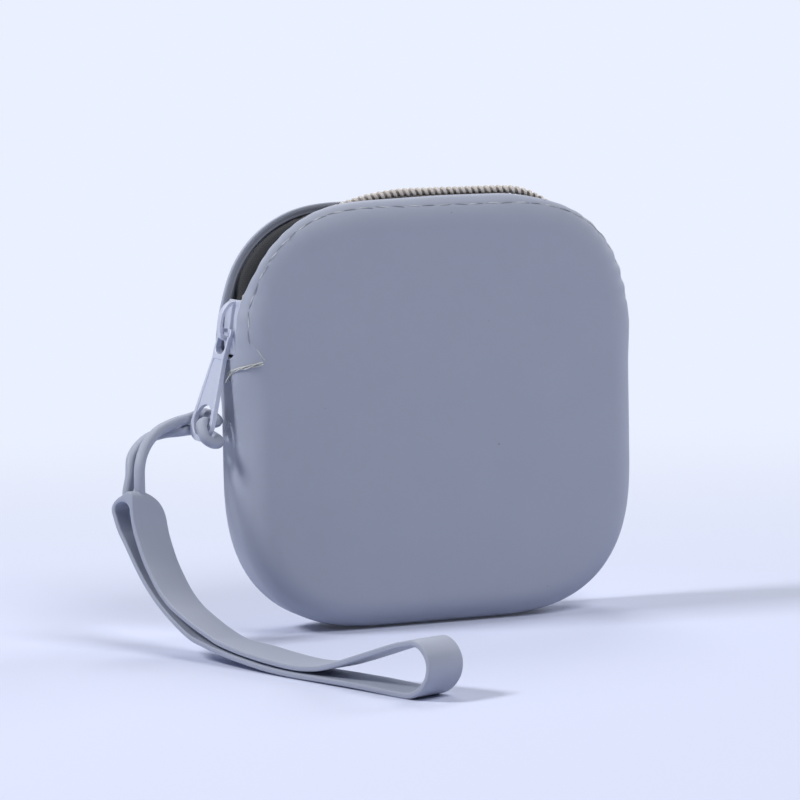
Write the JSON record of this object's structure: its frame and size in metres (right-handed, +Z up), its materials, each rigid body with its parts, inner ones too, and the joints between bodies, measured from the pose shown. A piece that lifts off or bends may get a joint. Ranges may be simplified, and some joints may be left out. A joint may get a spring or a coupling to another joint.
{
  "type": "silicone zip pouch",
  "caption": "Soft rounded-square moulded silicone pouch with a curved zip over its top, a drop-shaped puller and a cord-and-band wrist strap; stands on its lower edge.",
  "frame": {"origin": "middle of the flat strip under the pouch that it stands on, at the level of the surface below it", "axes": "+X to the right seen from the front, -Y the front face, +Z up; the slider and the strap are on the -X side"},
  "size_m": [0.1233, 0.1075, 0.0968],
  "materials": {
    "silicone": "matte",
    "painted_zinc": "satin",
    "tape_cloth": "matte",
    "coil_nylon": "satin",
    "thread": "matte"
  },
  "bodies": {
    "pouch": {"pouch_body": "silicone", "zip_tape_front": "tape_cloth", "zip_tape_back": "tape_cloth", "zip_coil_front": "coil_nylon", "zip_coil_back": "coil_nylon", "bottom_stop": "painted_zinc", "top_stop_front": "painted_zinc", "top_stop_back": "painted_zinc", "stitch_row_front": "thread", "stitch_row_back": "thread", "bartack_left": "thread", "bartack_right": "thread"},
    "slider": {"slider_body": "painted_zinc"},
    "puller": {"puller": "painted_zinc"},
    "strap": {"strap_band": "silicone", "strap_cord": "silicone"}
  },
  "joints": [
    {"name": "slider_travel", "type": "hinge", "parent": "pouch", "child": "slider", "pos_m": [-0.018, 0, 0.0655], "axis": [0, 1, 0], "range_deg": [0, 20]},
    {"name": "puller_swing", "type": "hinge", "parent": "slider", "child": "puller", "pos_m": [-0.04754, -0.0003, 0.06737], "axis": [0, 1, 0], "range_deg": [0, 110]},
    {"name": "strap_swing", "type": "hinge", "parent": "puller", "child": "strap", "pos_m": [-0.05434, 0.00011, 0.04402], "axis": [-0.2277, 0.9702, 0.0832], "range_deg": [-8, 8]}
  ]
}
